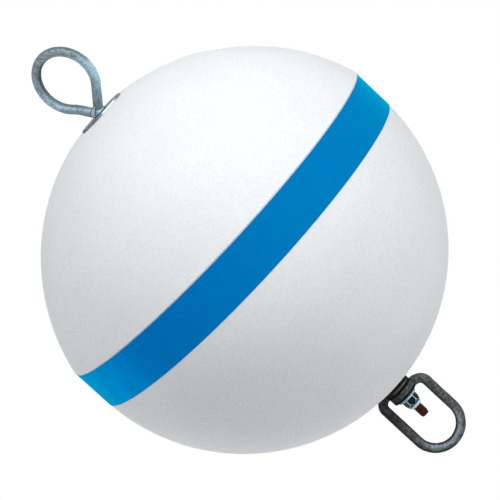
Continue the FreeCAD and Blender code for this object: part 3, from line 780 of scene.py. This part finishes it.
# %% Relief of a surface
def relief_tree():
    """Store how far each point stands out, and soften the surface by a share of it."""
    tree, given = new_tree("surface_relief", ["Soften"], takes_mesh=True)
    tree.interface.new_socket("Passes", in_out="INPUT", socket_type="NodeSocketInt")
    position = add_node(tree, "GeometryNodeInputPosition").outputs[0]
    normal = add_node(tree, "GeometryNodeInputNormal").outputs[0]
    blurred = add_node(tree, "GeometryNodeBlurAttribute",
                       {"Value": position, "Iterations": given["Passes"]},
                       data_type="FLOAT_VECTOR").outputs[0]
    outward = add_node(tree, "ShaderNodeVectorMath", {0: position, 1: blurred},
                       operation="SUBTRACT")
    stored = add_node(tree, "GeometryNodeStoreNamedAttribute",
                      {"Geometry": given["Mesh"], "Name": "relief",
                       "Value": along(tree, outward.outputs[0], normal)},
                      data_type="FLOAT", domain="POINT")
    inward = add_node(tree, "ShaderNodeVectorMath", {0: blurred, 1: position},
                      operation="SUBTRACT")
    return moved_tree(tree, stored.outputs[0], inward.outputs[0], given["Soften"],
                      given["Material"])


surface_relief = relief_tree()
print("relief tree has", len(surface_relief.nodes), "nodes")

# %% [markdown]
# The steel pieces start from copies of their solids. The triangles of a solid come loose,
# so a copy is merged first. Remeshing and smoothing together turn the crisp seams between
# rod, weld and loop into the soft fillets of molten metal. The voxel is small against the
# bar, about a twentieth of its thickness, so the bar keeps its size.

# %% Copy solids, and melt them into one skin
def merged_copy(node_name):
    """Copy of a solid's mesh with its loose triangles joined."""
    work = bmesh.new()
    work.from_mesh(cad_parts[node_name].data)
    bmesh.ops.remove_doubles(work, verts=work.verts, dist=0.001 * MM)
    mesh = bpy.data.meshes.new(node_name + "_copy")
    work.to_mesh(mesh)
    work.free()
    return mesh


def joined(name, meshes):
    """One mesh of several."""
    work = bmesh.new()
    for mesh in meshes:
        work.from_mesh(mesh)
    whole = bpy.data.meshes.new(name)
    work.to_mesh(whole)
    work.free()
    return whole


def melted(name, mesh, voxel, passes):
    """Even skin over a mesh, its seams softened."""
    piece = place_mesh(name, mesh)
    remesh = piece.modifiers.new("voxels", "REMESH")
    remesh.mode = "VOXEL"
    remesh.voxel_size = voxel
    if passes:
        smooth = piece.modifiers.new("soften", "SMOOTH")
        smooth.factor = 0.5
        smooth.iterations = passes
    return baked(piece, name)


rod_copy = merged_copy("eye_rod")
print("merged eye rod has", len(rod_copy.vertices), "points")

# %% [markdown]
# A finished piece rides on the body that its solid belongs to, and it stands for that solid,
# which stays behind for collision. All five steel pieces go through this one step.

# %% Place a finished piece
def finished(name, mesh, material, body, replaced):
    """Place a finished mesh on its body, and hide the solid that it stands for."""
    mesh.materials.clear()
    mesh.materials.append(material)
    piece = place_mesh(name, mesh)
    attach(piece, body)
    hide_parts(replaced)
    print("%s: %d faces" % (name, len(mesh.polygons)))


print("solids in the frame:", len(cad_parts))

# %% [markdown]
# The rod with its eye: the solid and the weld beads melt together, the eye gets its cast
# surface, and then the plain end is drawn in and the thread added. The thread comes last
# because the remesh would wash out a ridge this small.

# %% Rod and eye
ROD_VOXEL = 0.68 * MM
ROD_LUMP = 6 * MM
ROD_LUMP_DEPTH = 0.25 * MM
WIDER_THAN_ALL = 1.0
THREAD_ROOT_SHARE = 0.86
THREAD_ROOT_INTO_NUT = 1.5 * MM

rod_skin = melted("rod_skin", joined("rod_and_weld", [rod_copy, weld_beads]), ROD_VOXEL,
                  passes=3)
rod_skin = grown("rod_cast", cast_surface,
                 {"Lump": ROD_LUMP, "Depth": ROD_LUMP_DEPTH, "True radius": WIDER_THAN_ALL,
                  "True top": plate_high.z, "Material": zinc_grey}, rod_skin)
rod_skin = grown("rod_relief", surface_relief,
                 {"Soften": 0.0, "Passes": 6, "Material": zinc_grey}, rod_skin)
for point in rod_skin.vertices:
    if point.co.z < nut_low.z + THREAD_ROOT_INTO_NUT:
        point.co.x *= THREAD_ROOT_SHARE
        point.co.y *= THREAD_ROOT_SHARE
rod_mesh = joined("galvanised_eye_rod", [rod_skin, thread_ridge])
for face in rod_mesh.polygons:
    face.use_smooth = True
finished("galvanised_eye_rod", rod_mesh, zinc_grey, "float", "eye_rod")

# %% [markdown]
# The bail: the same steps, with deeper lumps, because it was forged. Its two eyes turn on
# the rod, so the column round the axis stays true. The eyes lie 0.3 mm apart, and a remesh
# would close a gap so narrow. So their facing sides are first drawn back a little, and the
# skin is drawn together again over the gap afterwards.

# %% Bail
DRAWN_BACK = 0.45 * MM
FADE = 2 * MM
BAIL_VOXEL = 0.44 * MM
BAIL_LUMP = 9 * MM
BAIL_LUMP_DEPTH = 0.7 * MM
SAME_HEIGHT = 0.05 * MM

bail_copy = merged_copy("swivel_bail")
drawn = 0
for point in bail_copy.vertices:
    for face_height, shift in ((upper_eye_foot, DRAWN_BACK), (lower_eye_top, -DRAWN_BACK)):
        if abs(point.co.z - face_height) < SAME_HEIGHT:
            point.co.z += shift
            drawn += 1
            break
print("points drawn back:", drawn)
bail_skin = melted("bail_skin", bail_copy, BAIL_VOXEL, passes=2)
gap_middle = (upper_eye_foot + lower_eye_top) / 2
open_half = EYE_GAP / 2 + DRAWN_BACK
for point in bail_skin.vertices:
    above = point.co.z - gap_middle
    beyond = abs(above) - open_half
    if beyond < 0:
        point.co.z = gap_middle + above * (EYE_GAP / 2) / open_half
    elif beyond < FADE:
        point.co.z -= copysign(DRAWN_BACK * (1 - beyond / FADE), above)
bail_skin = grown("bail_cast", cast_surface,
                  {"Lump": BAIL_LUMP, "Depth": BAIL_LUMP_DEPTH,
                   "True radius": LUG_RADIUS + 0.5 * MM, "True top": 0.0,
                   "Material": bail_grey}, bail_skin)
bail_mesh = grown("forged_bail", surface_relief,
                  {"Soften": 0.0, "Passes": 8, "Material": bail_grey}, bail_skin)
finished("forged_bail", bail_mesh, bail_grey, "swivel", "swivel_bail")

# %% [markdown]
# Nut, washer and plate keep the true form of their solids. Pressing and tumbling break
# their edges. A bevel modifier can do that, but the facets of the nut's cone stop it from
# growing wide enough to see, so these pieces are remeshed finely as well, and the relief
# tree both rounds their edges and marks them for the painted highlight.

# %% Pressed and turned pieces
EDGE_SHARE = 0.3


def edged(name, node_name, material, voxel, passes):
    """Copy of a solid with its edges rounded and marked."""
    skin = melted(name + "_skin", merged_copy(node_name), voxel, passes=0)
    mesh = grown(name, surface_relief,
                 {"Soften": EDGE_SHARE, "Passes": passes, "Material": material}, skin)
    finished(name, mesh, material, "float", node_name)


edged("plated_lock_nut", "lock_nut", nut_zinc, voxel=0.25 * MM, passes=24)
edged("plated_washer", "flat_washer", washer_zinc, voxel=0.3 * MM, passes=5)
edged("galvanised_plate", "top_plate", plate_zinc, voxel=0.4 * MM,
      passes=3)

# %% [markdown]
# The ball, its tape and the hidden pieces already have their true shape in the frame, so
# they only get their finish.

# %% Finishes on the solids that stay
for node_name, material in (("ball_shell", shell_white), ("stripe_tape", tape_blue),
                            ("foam_core", foam_cream), ("centre_tube", tube_grey),
                            ("nut_insert", nylon)):
    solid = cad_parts[node_name]
    solid.data.materials.clear()
    solid.data.materials.append(material)
    print(node_name, "wears", material.name)

# %% [markdown]
# The camera stands a little above the ball's middle, two and a half metres off, and is
# rolled, because in the picture the buoy hangs slantwise: the rod runs from the upper left
# to the lower right. The three directions right, up and back are worked out from the
# angles, and the roll then turns right and up about back.

# %% Camera
VIEW_ELEVATION = radians(7.8)
VIEW_ROLL = radians(47.2)
CAMERA_DISTANCE = 2.558
CAMERA_LENS = 163.94
AIM_RIGHT = 7.0 * MM
AIM_DOWN = 0.9 * MM

back = Vector((sin(VIEW_AZIMUTH) * cos(VIEW_ELEVATION),
               -cos(VIEW_AZIMUTH) * cos(VIEW_ELEVATION), sin(VIEW_ELEVATION)))
level_up = back.cross(PICTURE_RIGHT)
view_right = PICTURE_RIGHT * cos(VIEW_ROLL) - level_up * sin(VIEW_ROLL)
view_up = PICTURE_RIGHT * sin(VIEW_ROLL) + level_up * cos(VIEW_ROLL)
aim = ball_centre + view_right * AIM_RIGHT - view_up * AIM_DOWN

lens = bpy.data.cameras.new("camera")
lens.lens = CAMERA_LENS
camera = bpy.data.objects.new("camera", lens)
camera.matrix_world = Matrix.Translation(aim + back * CAMERA_DISTANCE) @ Matrix(
    (view_right, view_up, back)).transposed().to_4x4()
bpy.context.scene.collection.objects.link(camera)
bpy.context.scene.camera = camera
print("camera at", [round(value, 3) for value in camera.location])

# %% [markdown]
# The buoy is lit as for a catalogue: large soft lamps high on the picture's left, right and
# front spread the light over the ball's upper half, where one alone would make a spot. Two
# under it lift the ball's lower rim, as a pale table would, one behind it keeps the far
# side from going grey, and an even grey fills the rest. All are aimed with the same three
# directions, so the light stays where the picture has it.

# %% Lamps
WIDE = 1.6
NARROW = 0.8


def soft_lamp(name, side, up, toward, width, power):
    """Square lamp facing the ball's centre, at metres right, up and toward, with its watts."""
    lamp = bpy.data.lights.new(name, "AREA")
    lamp.size = width
    lamp.energy = power
    place = ball_centre + view_right * side + view_up * up + back * toward
    holder = bpy.data.objects.new(name, lamp)
    holder.location = place
    holder.rotation_euler = (place - ball_centre).to_track_quat("Z", "Y").to_euler()
    bpy.context.scene.collection.objects.link(holder)
    return holder


lamps = [soft_lamp("left_lamp", -1.4, 1.5, 1.6, WIDE, 32.0),
         soft_lamp("right_lamp", 1.2, 1.8, 1.6, WIDE, 25.0),
         soft_lamp("front_lamp", 0.0, 1.3, 2.6, WIDE, 14.0),
         soft_lamp("rim_lamp", 0.0, -2.0, -0.9, WIDE, 27.0),
         soft_lamp("low_lamp", -1.5, -1.5, -0.6, WIDE, 9.0),
         soft_lamp("back_lamp", 0.0, 0.4, -3.2, NARROW, 40.0)]
print("lamps:", ", ".join(lamp.name for lamp in lamps))

# %% [markdown]
# The world is a plain grey that fills the shadows. For the camera, for gloss and for glass
# it is white, which is the picture's background, and that adds no light to the object.

# %% World
WORLD_GREY = 0.255

world = bpy.data.worlds.new("studio")
world.use_nodes = True
bpy.context.scene.world = world
sky = world.node_tree
sky.nodes.clear()
rays = add_node(sky, "ShaderNodeLightPath").outputs
seen = either(sky, rays["Is Camera Ray"],
              either(sky, rays["Is Glossy Ray"], rays["Is Transmission Ray"]))
strength = mask(sky, seen, 0.0, 1.0, WORLD_GREY, 1.0)
light = add_node(sky, "ShaderNodeBackground", {"Color": linear("#FFFFFF"),
                                               "Strength": strength})
add_node(sky, "ShaderNodeOutputWorld", {"Surface": light.outputs[0]})
print("the world's grey is %.3f for the object and 1 for the camera" % WORLD_GREY)

# %% [markdown]
# The floor lies well below the hanging buoy, out of the picture. It is pale, it keeps the
# buoy's shadow, and it fades into the white round it.

# %% Floor
FLOOR_DROP = 1.0
FLOOR_RADIUS = 1.9
PLAIN_UP_TO = 0.75
WHITE_FROM = 1.5

floor_work = bmesh.new()
bmesh.ops.create_circle(floor_work, cap_ends=True, segments=96, radius=FLOOR_RADIUS)
floor_mesh = bpy.data.meshes.new("floor")
floor_work.to_mesh(floor_mesh)
floor_work.free()
floor_mesh.transform(Matrix.Translation((0, 0, ball_centre.z - FLOOR_DROP)))
floor = place_mesh("floor", floor_mesh)

floor_paint, tree, shader, place = start_material("studio_floor")
from_middle = from_axis(tree, place)
rays = add_node(tree, "ShaderNodeLightPath").outputs
seen = either(tree, rays["Is Camera Ray"], rays["Is Glossy Ray"])
faded = both(tree, mask(tree, from_middle, PLAIN_UP_TO, WHITE_FROM), seen)
white = add_node(tree, "ShaderNodeEmission", {"Color": linear("#FFFFFF"), "Strength": 1.0})
feed(tree, shader, {"Base Color": linear("#F2F2F2"), "Roughness": 0.9})
mixed = add_node(tree, "ShaderNodeMixShader",
                 {0: faded, 1: shader.outputs[0], 2: white.outputs[0]})
feed(tree, tree.nodes["Material Output"], {"Surface": mixed.outputs[0]})
floor_mesh.materials.append(floor_paint)
print("floor %.2f m below the ball's centre" % FLOOR_DROP)

# %% [markdown]
# Last comes the view transform: Standard shows a colour as it was written.

# %% View transform
bpy.context.scene.view_settings.view_transform = "Standard"
